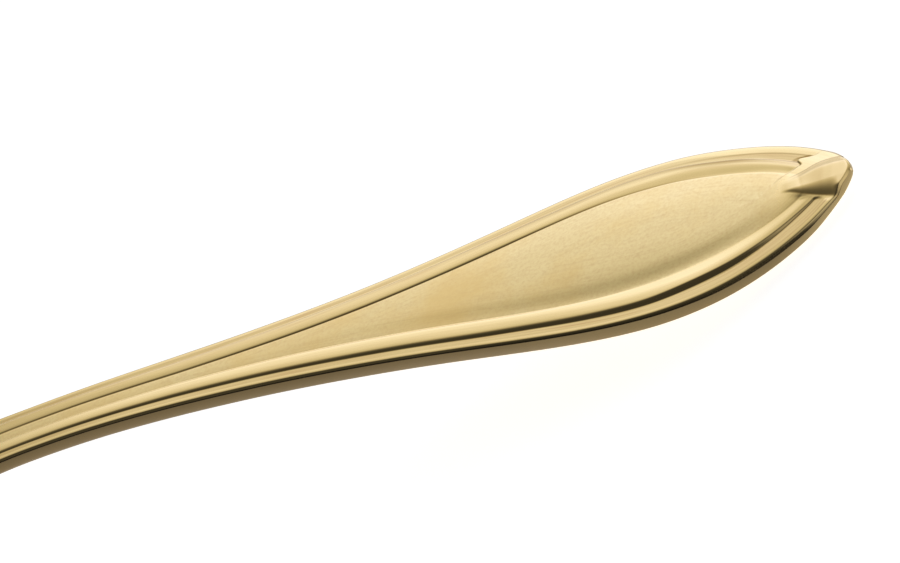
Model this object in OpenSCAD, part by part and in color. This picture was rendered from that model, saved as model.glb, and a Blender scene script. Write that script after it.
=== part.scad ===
// Teaspoon with a leaf-shaped handle, a double thread border and a pointed ridge at the handle's tip.
// It is one forging, given as five stretches that meet face to face on upright flat cuts.
// The spoon lies on a table at z = 0 with its bowl towards -X and its handle's tip towards +X.

/* [Spoon] */
// Length over everything, from the bowl's tip to the handle's tip
spoon_l = 137; // [133:1:142]

/* [Bowl] */
// Length of the bowl, from its tip to the cut at the neck
bowl_l = 47; // [45:1:49]
// Widest width over the bowl's rim
bowl_w = 31; // [28:1:33]
// Distance from the bowl's tip to its widest and deepest place
bowl_wide_at = 21; // [19:1:23]
// Depth of the inside below the rim
bowl_d = 6.4; // [5.4:0.2:7.4]
// Metal under the deepest place
bowl_t = 1.2; // [1:0.1:1.6]
// Width of the land along the rim, outside the hollow
rim_w = 0.9; // [0.7:0.1:1.2]
// Metal at the rim
rim_t = 1; // [0.8:0.1:1.2]
// How far the rim climbs from the widest place to the bowl's tip
rim_rise = 0.5; // [0:0.1:1]
// How much of the bowl's belly is worn to a flat that rests on the table
belly_flat = 0.13; // [0.1:0.01:0.15]

/* [Neck and stem] */
// Length of the neck
neck_l = 10; // [9:1:12]
// Length of the stem, from the neck to the blade
stem_l = 18; // [16:1:20]
// Narrowest width of the stem
stem_w = 4.74; // [4.4:0.1:5.2]
// Distance from the handle's tip to the narrowest place
narrow_at = 68.5; // [67:0.5:71]
// Distance from the handle's tip to the top of the arch, where the neck begins to drop
arch_at = 83; // [81:1:84]
// Distance from the handle's tip to the steepest place, where the neck enters the bowl
drop_at = 93; // [91:1:95]
// Metal in the middle of the stem
stem_t = 2.45; // [2.2:0.05:2.7]
// Slope at the steepest place, in degrees
neck_tilt = 21; // [19:1:23]

/* [Blade] */
// Widest width of the blade
blade_w = 15.4; // [14.5:0.1:16.5]
// Distance from the handle's tip to the widest place
wide_at = 16; // [15:0.5:18]
// Metal in the middle of the blade
blade_t = 2.43; // [2.4:0.01:2.6]
// Metal at the side wall of the blade and the stem
edge_t = 1.3; // [1.2:0.05:1.4]
// Metal at the handle's very point, to which the side wall thins
point_t = 0.34; // [0.3:0.02:0.5]
// How far the satin field is crowned in its middle
crown_h = 0.42; // [0.3:0.02:0.44]
// Slope of the blade down to its tip, in degrees
blade_tilt = 11; // [9:0.5:12]
// Distance from the handle's tip to where the straight blade starts to arch
straight_at = 60; // [58:1:64]

/* [Border] */
// Width of the outer thread
outer_thread_w = 1.05; // [0.9:0.05:1.15]
// Width of the inner thread
inner_thread_w = 1.55; // [1.4:0.05:1.65]
// Height of the inner thread over the outer thread, in the wide part of the blade
thread_h = 0.34; // [0.26:0.02:0.36]
// Width of the polished facet along the upper edge of the side wall
edge_facet_w = 0.14; // [0.1:0.02:0.2]
// Drop of that facet
edge_facet_h = 0.36; // [0.26:0.02:0.4]

/* [Tip] */
// Length of the tip, from its point to the cut at the blade
tip_l = 9; // [8:0.5:10]
// Height of the border above the table at the tip
tip_h = 1.16; // [1.14:0.01:1.2]
// Length of the level end, before the blade starts to climb
level_l = 2; // [1.5:0.5:3]
// Length of the ridge from the tip's point to its root
ridge_l = 5.6; // [5:0.2:6.4]
// Width of the ridge at the rim
ridge_w = 3.9; // [3.5:0.1:4.3]
// Height of the ridge where it stands highest
ridge_h = 0.38; // [0.3:0.02:0.46]
// Plain strip between the ridge and the ends of the threads, on the far side
far_gap = 1.5; // [1.2:0.1:1.8]
// The same strip on the near side
near_gap = 0.3; // [0.2:0.05:0.5]
// Length over which the threads end
thread_end = 0.3; // [0.2:0.05:0.4]

/* [Hidden] */
gold = [0.88, 0.76, 0.52];

// Places along the spoon, measured from the handle's tip
bowl_cut = spoon_l - bowl_l;
neck_cut = bowl_cut - neck_l;
stem_cut = neck_cut - stem_l;
bowl_wide = spoon_l - bowl_wide_at;

// Control points of the plan outline, as shares of the stretch that each curve spans
tip_curve_shares = [0.316, 0.444];
blade_curve_shares = [0.217, 0.642];
neck_curve_shares = [0.632, 0.587];
bowl_curve_shares = [0.55, 0.53];

// The outline's half width, as four curves from the handle's tip to the bowl's tip
blade_half = blade_w / 2;
stem_half = stem_w / 2;
bowl_half = bowl_w / 2;
field_half = blade_half - outer_thread_w - inner_thread_w;
draw_in = narrow_at - wide_at;
flare = bowl_wide - narrow_at;
OUTLINE = [
    [[0, 0], [0, blade_half * tip_curve_shares[0]],
     [wide_at * tip_curve_shares[1], blade_half], [wide_at, blade_half]],
    [[wide_at, blade_half], [wide_at + draw_in * blade_curve_shares[0], blade_half],
     [narrow_at - draw_in * blade_curve_shares[1], stem_half], [narrow_at, stem_half]],
    [[narrow_at, stem_half], [narrow_at + flare * neck_curve_shares[0], stem_half],
     [bowl_wide - flare * neck_curve_shares[1], bowl_half], [bowl_wide, bowl_half]],
    [[bowl_wide, bowl_half], [bowl_wide + bowl_wide_at * bowl_curve_shares[0], bowl_half],
     [spoon_l, bowl_half * bowl_curve_shares[1]], [spoon_l, 0]],
];

// Height of the border and the rim along the spoon, each with its slope there
blade_slope = tan(blade_tilt);
neck_slope = tan(neck_tilt);
stem_slope_share = 0.55;
stem_slope = blade_slope * stem_slope_share;
bend_z = tip_h + blade_slope * (tip_l - level_l) / 2;
straight_z = bend_z + blade_slope * (straight_at - tip_l);
stem_z = straight_z + (blade_slope + stem_slope) * (narrow_at - straight_at) / 2;
arch_z = stem_z + stem_slope * (arch_at - narrow_at) / 2;
drop_z = arch_z - neck_slope * (drop_at - arch_at) / 2;
rim_z = bowl_d + bowl_t - belly_flat;
rim_slope = 2 * rim_rise / bowl_wide_at;
HEIGHTS = [
    [0, tip_h, 0],
    [level_l, tip_h, 0],
    [tip_l, bend_z, blade_slope],
    [straight_at, straight_z, blade_slope],
    [narrow_at, stem_z, stem_slope],
    [arch_at, arch_z, 0],
    [drop_at, drop_z, -neck_slope],
    [bowl_wide, rim_z, 0],
    [spoon_l, rim_z + rim_rise, rim_slope],
];

// Sections of the two threads, from the side wall inwards: shares of the thread's width and of thread_h
field_level_share = 0.92;
outer_thread_shares = [[0.45, 0.04], [1, 0.06]];
inner_thread_shares = [[0.07, 0.5], [0.14, 0.93], [0.25, 0.98], [0.45, 1.03], [0.64, 1.06], [0.85, 0.99], [1, 0.92]];
// The plain strip beside the ridge, in shares of the whole border
plain_shares = [[0, 0], [0.25, 0.3], [0.46, 0.72], [0.77, 0.9], [1, 0.92]];
border_w = outer_thread_w + inner_thread_w;
OUTER_SECTION = [for (p = outer_thread_shares) [p[0] * outer_thread_w, p[1] * thread_h]];
INNER_SECTION = [for (p = inner_thread_shares) [outer_thread_w + p[0] * inner_thread_w, p[1] * thread_h]];
level_h = thread_h * field_level_share;
BORDER = concat([[0, 0], [edge_facet_w, 0]], OUTER_SECTION, INNER_SECTION);
PLAIN = [for (p = plain_shares) [p[0] * border_w, p[1] * thread_h]];
// The threads flatten and narrow towards the stem, to these shares
stem_thread_share = 0.25;
stem_border_share = 0.75;
thread_fade_power = 2.6;
// The facet of the edge is smaller at the handle's very point
point_facet_share = 0.35;
// The ridge along its length, from the point to its root: shares of ridge_l, and of half ridge_w or ridge_h
ridge_side_shares = [[0, 1], [0.25, 1], [0.36, 0.94], [0.45, 0.86], [0.55, 0.72], [0.7, 0.49], [0.86, 0.215], [1, 0]];
ridge_rise_shares = [[0, 0.7], [0.18, 0.94], [0.3, 1], [0.45, 0.94], [0.55, 0.83], [0.7, 0.58], [0.86, 0.28], [1, 0]];
// The section of the ridge, round on the near side and flat with a facet on the far side
ridge_section_shares = [[-1, 0], [-0.8, 0.44], [-0.6, 0.75], [-0.4, 0.94], [-0.2, 1],
    [0.3, 0.94], [0.54, 0.9], [0.8, 0.4], [1, 0]];
// Shares of the half width left to the satin field, from the threads to the middle
field_shares = [0.08, 0.22, 0.4, 0.6, 0.8];
// The threads draw together where the stem leaves them no more than this share of the half width
border_most_share = 0.8;

// Length over which the hollow of the bowl sets in
hollow_in = neck_l;
// Shape of the hollow: how its depth follows the width, and how full its section is
hollow_power = 1.7;
hollow_round_share = 0.6;
// How fast the side wall thickens from the handle's point to the widest place
point_power = 0.45;
// Below the border the side wall rounds under by this share of the edge
under_round_share = 0.3;
// Shares of the half width for the points of the back
back_shares = [0.92, 0.75, 0.5, 0.3, 0.12];

// Stations along each stretch
BOWL_STEPS = 34;
NECK_STEPS = 12;
STEM_STEPS = 12;
BLADE_STEPS = 34;
TIP_STEPS = 30;
// The closing rings stop this share of a stretch short of the two points
point_share = 0.0004;

function mix(a, b, t) = a + (b - a) * t;
function clamp(t) = min(1, max(0, t));
function ease(t) = let (k = clamp(t)) k * k * (3 - 2 * k);
function bezier(p, i, t) = pow(1 - t, 3) * p[0][i] + 3 * pow(1 - t, 2) * t * p[1][i]
    + 3 * (1 - t) * t * t * p[2][i] + pow(t, 3) * p[3][i];
// Slope of a curve, between its point at t and a point nearby
function bezier_slope(p, t, e = 0.001) = (bezier(p, 1, t + e) - bezier(p, 1, t - e))
    / max(e * e, bezier(p, 0, t + e) - bezier(p, 0, t - e));
function solve(p, s, lo = 0, hi = 1, n = 26) = n == 0 ? (lo + hi) / 2
    : let (mid = (lo + hi) / 2) bezier(p, 0, mid) < s ? solve(p, s, mid, hi, n - 1) : solve(p, s, lo, mid, n - 1);
function curve_at(s) = s < wide_at ? OUTLINE[0] : s < narrow_at ? OUTLINE[1] : s < bowl_wide ? OUTLINE[2] : OUTLINE[3];

function hermite(a, b, s) = let (l = b[0] - a[0], t = (s - a[0]) / l)
    a[1] * (2 * pow(t, 3) - 3 * t * t + 1) + a[2] * l * (pow(t, 3) - 2 * t * t + t)
    + b[1] * (3 * t * t - 2 * pow(t, 3)) + b[2] * l * (pow(t, 3) - t * t);
function edge_z(s, i = 0) = i == len(HEIGHTS) - 2 || s < HEIGHTS[i + 1][0]
    ? hermite(HEIGHTS[i], HEIGHTS[i + 1], s) : edge_z(s, i + 1);

// 0 on the handle, 1 in the bowl
function bowl_mix(s) = ease((s - neck_cut) / (neck_l + hollow_in));
function hollow(s, w) = bowl_d * pow(w / bowl_half, hollow_power) * ease((s - bowl_cut + neck_l / 2) / hollow_in);
function dish(u) = let (q = min(1, abs(u))) 1 - hollow_round_share * q * q - (1 - hollow_round_share) * pow(q, 4);

// The ridge grows from its root to the rim of the tip
function ridge_half(s) = ridge_w / 2 * lookup(s / ridge_l, ridge_side_shares);
function ridge(s, v) = let (r = ridge_half(s)) r <= abs(v) ? 0
    : ridge_h * lookup(s / ridge_l, ridge_rise_shares) * lookup(v / r, ridge_section_shares);
// 1 where the threads stand, 0 on the plain strip beside the ridge
function threads(s, v) = let (gap = (v > 0 ? far_gap : near_gap) * clamp((tip_l - s) / (tip_l - ridge_l)))
    s >= tip_l ? 1 : ease((abs(v) - ridge_half(s) - gap) / thread_end + clamp((s - ridge_l) / (tip_l - ridge_l)));
// Share of the way from the widest place to the narrowest
function drawn_in(s) = clamp((s - wide_at) / (narrow_at - wide_at));
function thread_share(s) = mix(stem_thread_share, 1, pow(1 - drawn_in(s), thread_fade_power));

// Height of the border and the field over edge_z, at the distance d inside the outline
function relief(s, v, w, d, shrink) = let (
        full = lookup(d / shrink, BORDER) * thread_share(s),
        plain = lookup(d / shrink, PLAIN),
        facet = edge_facet_h * mix(point_facet_share, 1, clamp(s / ridge_l)) * clamp(1 - d / shrink / edge_facet_w),
        inside = max(0, w - border_w * shrink),
        crown = inside > 0 ? crown_h * clamp(1 - pow(abs(v) / inside, 2)) * clamp(pow(inside / field_half, 2)) : 0)
    mix(plain, full, threads(s, v)) - facet + crown + ridge(s, v);

function top_z(s, v, w, d, shrink) = edge_z(s)
    + (1 - bowl_mix(s)) * relief(s, v, w, d, shrink)
    - hollow(s, w) * dish(v / max(rim_w, w - rim_w));
function handle_t(s) = mix(point_t, edge_t, pow(clamp(s / wide_at), point_power));
function wall_t(s) = mix(handle_t(s), rim_t, bowl_mix(s));
// Middle of the back below the level of the side wall's foot
function back_d(s) = mix(blade_t - edge_t - level_h - crown_h, stem_t - edge_t - level_h * stem_thread_share,
    ease((s - wide_at) / (neck_cut - wide_at)));
function back_z(s, v, w) = max(0, edge_z(s) - wall_t(s)
    - (1 - bowl_mix(s)) * back_d(s) * (1 - pow(v / w, 2))
    - (hollow(s, w) + bowl_mix(s) * (bowl_t - rim_t)) * dish(v / w));

// One closed section of the spoon at the distance s from the handle's tip
function section(s) = let (
        p = curve_at(s),
        t = solve(p, s),
        w = bezier(p, 1, t),
        sec = sqrt(1 + pow(bezier_slope(p, t), 2)),
        shrink = min(mix(1, stem_border_share, drawn_in(s)), border_most_share * w / border_w),
        rows = len(BORDER) + len(field_shares),
        edge = [for (i = [0 : len(BORDER) - 1]) min(BORDER[i][0] * shrink * sec, w * i / rows)],
        last = edge[len(edge) - 1],
        inner = [for (f = field_shares) mix(last, w, f)],
        steps = concat(edge, inner),
        far_tops = [for (e = steps) top_z(s, w - e, w, e / sec, shrink)],
        near_tops = [for (e = steps) top_z(s, e - w, w, e / sec, shrink)],
        middle = top_z(s, 0, w, w / sec, shrink),
        foot = edge_z(s) - wall_t(s),
        corner = far_tops[0],
        under = max(0, mix(foot, corner, under_round_share)),
        n = len(steps),
        x = spoon_l / 2 - s)
    concat(
        [for (i = [0 : n - 1]) [x, w - steps[i], far_tops[i]]],
        [[x, 0, middle]],
        [for (i = [n - 1 : -1 : 0]) [x, steps[i] - w, near_tops[i]]],
        [[x, -w, under]],
        [for (b = back_shares) [x, -w * b, back_z(s, w * b, w)]],
        [[x, 0, back_z(s, 0, w)]],
        [for (i = [len(back_shares) - 1 : -1 : 0]) [x, w * back_shares[i], back_z(s, w * back_shares[i], w)]],
        [[x, w, under]]);

// A closed solid through sections at the places listed, which run from the handle's tip to the bowl's tip
module stretch(places) {
    rings = [for (s = places) section(s)];
    n = len(rings[0]);
    last = len(rings) - 1;
    polyhedron(
        points = [for (r = rings) for (p = r) p],
        faces = concat(
            [[for (i = [n - 1 : -1 : 0]) i]],
            [for (k = [0 : last - 1]) for (i = [0 : n - 1]) let (j = (i + 1) % n)
                for (f = [[k * n + i, k * n + j, (k + 1) * n + j], [k * n + i, (k + 1) * n + j, (k + 1) * n + i]]) f],
            [[for (i = [0 : n - 1]) last * n + i]]),
        convexity = 6);
}

function even(a, b, n) = [for (i = [0 : n]) mix(a, b, i / n)];
// Places that crowd towards a, where the outline turns round its point
function crowded(a, b, n) = [for (i = [0 : n]) mix(a, b, pow(i / n, 2))];

module bowl() {
    back_to_front = crowded(spoon_l - bowl_l * point_share, bowl_cut, BOWL_STEPS);
    color(gold)
        stretch([for (i = [BOWL_STEPS : -1 : 0]) back_to_front[i]]);
}

module neck() {
    color(gold)
        stretch(even(neck_cut, bowl_cut, NECK_STEPS));
}

module stem() {
    color(gold)
        stretch(even(stem_cut, neck_cut, STEM_STEPS));
}

module blade() {
    color(gold)
        stretch(even(tip_l, stem_cut, BLADE_STEPS));
}

module tip() {
    color(gold)
        stretch(crowded(tip_l * point_share, tip_l, TIP_STEPS));
}

bowl();
neck();
stem();
blade();
tip();
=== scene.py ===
"""A light gold teaspoon: one forging, modelled as one closed skin over the five stretches of the frame."""
import math

import bpy
import numpy as np
from mathutils import Matrix, Vector


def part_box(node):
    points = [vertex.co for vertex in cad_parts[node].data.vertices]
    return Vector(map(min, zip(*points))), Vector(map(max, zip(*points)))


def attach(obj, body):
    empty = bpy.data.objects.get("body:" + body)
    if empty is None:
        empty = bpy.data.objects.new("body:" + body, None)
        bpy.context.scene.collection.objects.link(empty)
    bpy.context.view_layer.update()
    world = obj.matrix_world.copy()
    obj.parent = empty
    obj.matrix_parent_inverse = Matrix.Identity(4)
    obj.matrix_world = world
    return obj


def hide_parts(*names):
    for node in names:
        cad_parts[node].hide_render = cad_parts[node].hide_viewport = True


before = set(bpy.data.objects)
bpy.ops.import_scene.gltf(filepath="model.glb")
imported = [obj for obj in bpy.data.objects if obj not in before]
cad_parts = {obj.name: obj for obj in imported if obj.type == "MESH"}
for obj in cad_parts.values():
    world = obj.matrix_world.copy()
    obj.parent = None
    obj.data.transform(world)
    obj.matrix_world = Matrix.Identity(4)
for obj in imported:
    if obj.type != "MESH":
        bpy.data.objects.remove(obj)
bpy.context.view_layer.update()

MM = 0.001

# Sizes of the spoon in millimetres, with places along it measured from the handle's tip
TIP_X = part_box("tip")[1].x / MM
SPOON_L = 137.0
NECK_CUT = TIP_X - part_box("neck")[1].x / MM
BOWL_CUT = TIP_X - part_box("neck")[0].x / MM
BLADE_HALF = 7.7
STEM_HALF = 2.37
BOWL_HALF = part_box("bowl")[1].y / MM
WIDE_AT = 16.1
NARROW_AT = 68.5
DROP_AT = 93.0
BOWL_WIDE = 116.0
NECK_TILT = math.radians(21)
RIM_Z = 7.47
RIM_RISE = 0.5

# The bowl: its rim, its depth, its thickness and how its hollow is rounded
RIM_W = 0.9
RIM_T = 1.0
LIP_SOFT = 0.3
BOWL_D = 6.4
BOWL_T = 1.2
HOLLOW_POWER = 1.7
DISH_SHARE = 0.6

# How far the curves of the outline are pulled along at their ends, as shares of their lengths and widths
TIP_BLUNT_SHARE = 0.305
TIP_PULL_SHARE = 0.444
BLADE_PULL_SHARE = 0.217
STEM_PULL_SHARE = 0.642
NECK_PULL_SHARE = 0.632
BOWL_PULL_SHARE = 0.587
BOWL_TIP_PULL_SHARE = 0.55
BOWL_TIP_BLUNT_SHARE = 0.53
CURVE_POINTS = 500

# The edge of the handle: its height above the table, and its thickness
EDGE_LINE = (
    (0, 1.0), (1.0, 1.06), (2.0, 1.14), (3.1, 1.19), (4.7, 1.31), (7.0, 1.56), (10.0, 2.0), (15.0, 3.0),
    (21.0, 4.23), (30.0, 5.92), (40.0, 7.84), (50.0, 9.86), (58.0, 11.42), (63.0, 12.28), (67.0, 12.84),
    (71.5, 13.33), (77.0, 13.68), (83.0, 13.8),
)
EDGE_T = (
    (0, 0.44), (1, 0.60), (3, 0.87), (6, 1.02), (10, 1.16), (16, 1.34), (24, 1.38), (60, 1.36), (80, 1.3),
    (93, 1.0),
)

# Section of the border at places along the handle, in from the side wall and up from the edge
(PLACE, CHAMFER_W, CHAMFER_H, OUTER_W, OUTER_H, WALL_W, WALL_H,
 CREST_AT, CREST_H, INNER_AT, INNER_H, LAST_DROP) = range(12)
BORDER = (
    (0.0, 0.45, 0.05, 1.50, 0.07, 0.06, 0.06, 1.95, 0.20, 2.65, 0.40, 0.00),
    (3.0, 0.45, 0.05, 1.56, 0.07, 0.08, 0.10, 1.95, 0.20, 2.65, 0.40, 0.00),
    (4.2, 0.45, 0.05, 1.58, 0.07, 0.09, 0.14, 1.95, 0.24, 2.65, 0.40, 0.00),
    (6.0, 0.45, 0.05, 1.52, 0.06, 0.12, 0.22, 1.95, 0.31, 2.70, 0.39, 0.00),
    (9.0, 0.45, 0.04, 1.38, 0.05, 0.18, 0.33, 2.05, 0.42, 2.83, 0.37, 0.00),
    (12.0, 0.45, 0.02, 1.32, 0.03, 0.22, 0.37, 2.10, 0.42, 2.88, 0.34, 0.00),
    (16.0, 0.40, 0.01, 1.10, 0.02, 0.22, 0.32, 2.10, 0.37, 2.75, 0.31, 0.01),
    (20.0, 0.35, 0.0, 1.05, 0.02, 0.22, 0.28, 2.05, 0.32, 2.58, 0.28, 0.03),
    (25.0, 0.30, 0.0, 1.03, 0.01, 0.22, 0.23, 2.00, 0.26, 2.46, 0.24, 0.06),
    (30.0, 0.30, 0.0, 0.93, 0.01, 0.21, 0.21, 1.90, 0.23, 2.40, 0.21, 0.08),
    (36.0, 0.30, 0.0, 0.91, 0.01, 0.20, 0.19, 1.80, 0.21, 2.35, 0.19, 0.08),
    (46.0, 0.30, 0.0, 0.88, 0.01, 0.19, 0.16, 1.60, 0.18, 2.24, 0.15, 0.075),
    (55.0, 0.30, 0.0, 0.84, 0.00, 0.18, 0.15, 1.50, 0.16, 2.06, 0.12, 0.065),
    (72.0, 0.30, 0.0, 0.82, 0.00, 0.16, 0.12, 1.40, 0.12, 1.95, 0.08, 0.05),
)
LAST_DROP_W = 0.08
WHOLE_BORDER_TO = 10
BORDER_MOST_SHARE = 0.8

# How softly the corners of the border are polished, and the foot of its wall where the stem starts
BORDER_SOFT = (0.15, 0.03, 0.05, 0.25, 0.10, 0.03)
WALL_FOOT = 2
STEM_SOFT = 0.11
STEM_SOFT_START = (12, 10)

# The plain strip that takes the border's place beside the ridge
PLAIN_FAR = ((0, 0), (0.65, 0.10), (1.2, 0.26))
PLAIN_NEAR = ((0, 0), (0.65, 0.03), (1.2, 0.10))
PLAIN_SHOULDER_AT = 2.0
FAR_SHOULDER_SHARE = 0.9
NEAR_SHOULDER_SHARE = 0.6
PLAIN_W = 2.5
PLAIN_SOFT = 0.3

# The facet along the sharp corner over the side wall
CORNER = (
    (0, 0.10), (1.5, 0.14), (2.5, 0.24), (3.5, 0.35), (6, 0.41), (10, 0.40), (14, 0.31), (19, 0.25),
    (28, 0.25), (40, 0.26), (60, 0.22), (93, 0.2), (137, 0.2),
)
CORNER_W = 0.14
CORNER_SOFT = 0.05
CLEAR_OF_CORNER = 3

# The field: its slope away from the border, and the broad hollow polished into its near edge
FIELD_SLOPE = ((0, 0.16), (8, 0.18), (16, 0.185), (24, 0.14), (34, 0.08), (45, 0.04), (60, 0.01), (72, 0))
CROWN_POWER = 2.5
LEAST_FIELD = 0.02
NEAR_HOLLOW = ((0, 0), (5, 0.0), (10, 0.21), (20, 0.19), (30, 0.12), (40, 0.06), (50, 0.03), (60, 0.0))
NEAR_HOLLOW_W = 1.6

# Near its end the inner thread falls to the field, on the far side and on the near side
FAR_FALL = ((0, 0), (2.5, 0), (4, 0.16), (6, 0.11), (9, 0.03), (12, 0))
NEAR_FALL = ((0, 0), (1.5, 0), (3, 0.09), (4.2, 0.10), (6, 0.05), (9, 0))
FALL_W = 0.5
NEAR_FALL_CLEAR = 0.6

# The ridge at places along the tip: its far foot, its height and its near foot, counted from the middle
FAR_FOOT, RIDGE_H, NEAR_FOOT = 1, 2, 3
RIDGE = (
    (0, 1.62, 0.30, 2.1), (0.5, 1.70, 0.36, 2.08), (1.0, 1.80, 0.40, 2.03), (1.4, 1.85, 0.40, 1.83),
    (2.0, 1.86, 0.35, 1.57), (2.5, 1.83, 0.30, 1.36), (3.1, 1.70, 0.25, 1.09), (3.9, 1.42, 0.18, 0.73),
    (4.8, 1.24, 0.085, 0.28), (5.6, 1.0, 0, 0), (7.5, 0, 0, 0), (9.0, 0, 0, 0),
)
RIDGE_L = 5.6
RIDGE_CREST_SHARE = -0.2
RIDGE_FLAT_SHARE = 0.62
RIDGE_FLAT_DROP_SHARE = 0.06
RIDGE_FLAT_SOFT = 0.05
LEAST_FOOT = 0.05
DEEPEST_SHARE = -2

# Where the ridge's near side is cut to a flat facet: its upper edge, and its end along the spoon
FACET_FROM_SHARE = 0.52
FACET_SOFT = 0.04
FACET_END = (1.3, 0.5)

# How the ridge drops at the rim, how soft its foot is, and how it closes at its point
RIDGE_END = 0.2
RIDGE_END_DROP = 0.08
RIDGE_SOFT = 0.015
RIDGE_LEAST_SOFT = 1e-4
RIDGE_SOFT_END = (RIDGE_L, 0.5)
FAR_FOOT_END = (RIDGE_L, 0.8)

# Where the threads end beside the ridge, by distance in from the side wall
FAR_ENDS = ((0.45, 1.3), (0.8, 1.33), (1.33, 1.78), (1.55, 1.62), (1.8, 1.03), (2.1, 0.9), (2.4, 0.8))
NEAR_GAP = 0.28
NEAR_ROUND = 0.1
NEAR_ROUND_MOST = 1.5
OUTER_THREAD_END = (1.66, 0.1)
OUTER_MIDDLE = 1.25
OUTER_HALF = 0.4
INNER_MIDDLE = 2.1
INNER_HALF = 0.5
THREAD_END = 0.18
STRIP_CLOSES = (5, 3)
STRIP_PUSH = 3
STRIP_END = 9

# The shallow dip round the ends of the threads on the far side
LEDGE_AT = 0.86
END_DIP = 0.035
END_DIP_SIDE = (0, 0.5)
END_DIP_RIM = (LEDGE_AT - 0.05, 0.1)

# The lower edge of the side wall, and the crown of the back
TUCK = ((0, 0.32), (2, 0.26), (5, 0.2), (90, 0.25), (137, 0.3))
ROUNDED_SHARE = 0.55
BACK_CROWN = ((0, 0.1), (4, 0.36), (6, 0.38), (16, 0.4), (60, 0.9), (80, 1.05))

# Where the satin of the field starts: in from the border, and away from the ridge
SATIN_EDGE = (0.02, 0.1)
SATIN_START = (4.5, 3)
SATIN_SLANT = 0.3

# How dark the far side's painted shade lines are: the inner thread's foot, the outer one's ledge and the
# field's edge
FOOT_DARK = (
    (0, 0.3), (6, 0.35), (7.8, 0.6), (9.5, 0.82), (16, 0.66), (25, 0.56), (35, 0.36), (50, 0.25), (72, 0.25),
)
FOOT_LINE_OUT = 0.06
FOOT_LINE_W = 0.12
FOOT_FADE_W = 0.30
LEDGE_DARK = ((0, 0.55), (8, 0.5), (12, 0.35), (16, 0.15), (20, 0), (72, 0))
LINE_W = 0.06
FIELD_EDGE_DARK = 0.55
BLADE_LINES_START = (8, 8)

# The outer thread is a little darker than the inner one
OUTER_DARKER = 0.26
OUTER_FROM = 0.45
OUTER_START_W = 0.12
OUTER_START_BACK = 0.05
OUTER_END_W = 0.1

# The painted shade curves that close the two threads beside the ridge
INNER_END_DARK = 0.9
INNER_END_FROM = (1.5, 0.1)
INNER_END_TO = (2.7, 0.3)
OUTER_END_DARK = 0.95
OUTER_END_START = (-0.05, 0.1)
OUTER_END_STOP = (0.55, 0.2)
OUTER_END_L = 6
OUTER_END_PALER = 0.6
OUTER_END_PALER_FROM = (1.0, 0.4)
OUTER_END_FROM = (LEDGE_AT - 0.1, 0.08)
OUTER_END_TO = (1.65, 0.15)

# The painted shade line along the foot of the ridge, and how much darker the ridge's top is made near the tip
RIDGE_LINE_DARK = 0.7
RIDGE_LINE_TO = (5.3, 1.2)
RIDGE_LINE_LEAST = 0.4
RIDGE_DARKER = 0.12
RIDGE_DARKER_W = 0.3
RIDGE_DARKER_TO = (5.0, 2)

# How brown the painted dark reflection on the side wall's corner is, and where the wall's painted reflection
# turns paler towards the tip and its lower edge
FAR_WALL_REFLECTION = 0.75
NEAR_WALL_REFLECTION = 0.55
NEAR_WALL_REFLECTION_TO = (35, 10)
WALL_PALER = 0.13
PALER_TO_TIP = ((1.3, 7, 6), (0.35, 30, 8), (0.18, 45, 15))
PALER_LOW = 0.6
PALER_LOW_H = 1.0
WALL_INWARD = -0.3

# Rows of points round the skin: over the border, the field, the side wall and half of the back
BORDER_ROWS = 72
BORDER_REACH = 3.1
FIELD_ROWS = 14
WALL_ROWS = 7
BACK_ROWS = 10
CORNER_STEPS = (0, 0.3, 0.6, 0.8, 0.9, 1.0, 1.1, 1.25, 1.5)
AFTER_CORNER = 1.8
INSETS = 32
BORDER_LEAST_SHARE = 0.25
BOWL_ROW_POWER = 0.8
CORNER_ROWS = 2
# Rows of the top at each side that carry the side wall's painted reflection
FAR_WALL_REFLECTION_ROWS = 9
NEAR_WALL_REFLECTION_ROWS = 4

# Stations along the spoon, close together at its two points and where the threads end
POINT = 0.004
TIP_TO = 1.2
TIP_STATIONS = 24
ENDS_TO = 12
ENDS_STATIONS = 110
BLADE_STATIONS = 180
BOWL_STATIONS = 84
BOWL_END_L = 8
BOWL_END_STATIONS = 30
BOWL_POINT = 0.03
MIDDLE_STATIONS = 200
MIDDLE_SHORT = 2

# Smallest sizes that keep a sum or a face from vanishing, and how the nearest point is looked for
SLIVER = 0.001
WELD = 1e-9
POINTS_AT_ONCE = 4000
OUT_OF_REACH = 1e9


def ease(t):
    """A share from nought to one that starts and stops softly."""
    t = np.clip(t, 0, 1)
    return t * t * (3 - 2 * t)


def grows(x, start, run):
    """From nought at the start up to one, over a run. Pairs of numbers above are such a start and run."""
    return ease((x - start) / run)


def fades(x, end, run):
    """From one down to nought at the end, over a run. Pairs of numbers above are such an end and run."""
    return ease((end - x) / run)


def ramp(x, soft):
    """Nothing below zero and x above it, turning softly."""
    return 0.5 * (x + np.sqrt(x * x + soft * soft))


def soft_line(distance, width):
    """One on a line, fading away from it."""
    return np.exp(-(distance / width) ** 2)


def curve_between(t, run, start, start_slope, end, end_slope):
    """A smooth curve with a given height and slope at each end of its run."""
    return (start * (2 * t ** 3 - 3 * t ** 2 + 1) + start_slope * run * (t ** 3 - 2 * t ** 2 + t)
            + end * (3 * t ** 2 - 2 * t ** 3) + end_slope * run * (t ** 3 - t ** 2))


def along(s, table, column=1):
    """A smooth curve through one column of a table of stations."""
    x = np.array([row[PLACE] for row in table], float)
    y = np.array([row[column] for row in table], float)
    slope = np.diff(y) / np.diff(x)
    m = np.concatenate([[slope[0]], (slope[1:] + slope[:-1]) / 2, [slope[-1]]])
    s = np.clip(s, x[0], x[-1])
    i = np.clip(np.searchsorted(x, s) - 1, 0, len(x) - 2)
    run = x[i + 1] - x[i]
    return curve_between((s - x[i]) / run, run, y[i], m[i], y[i + 1], m[i + 1])


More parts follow.
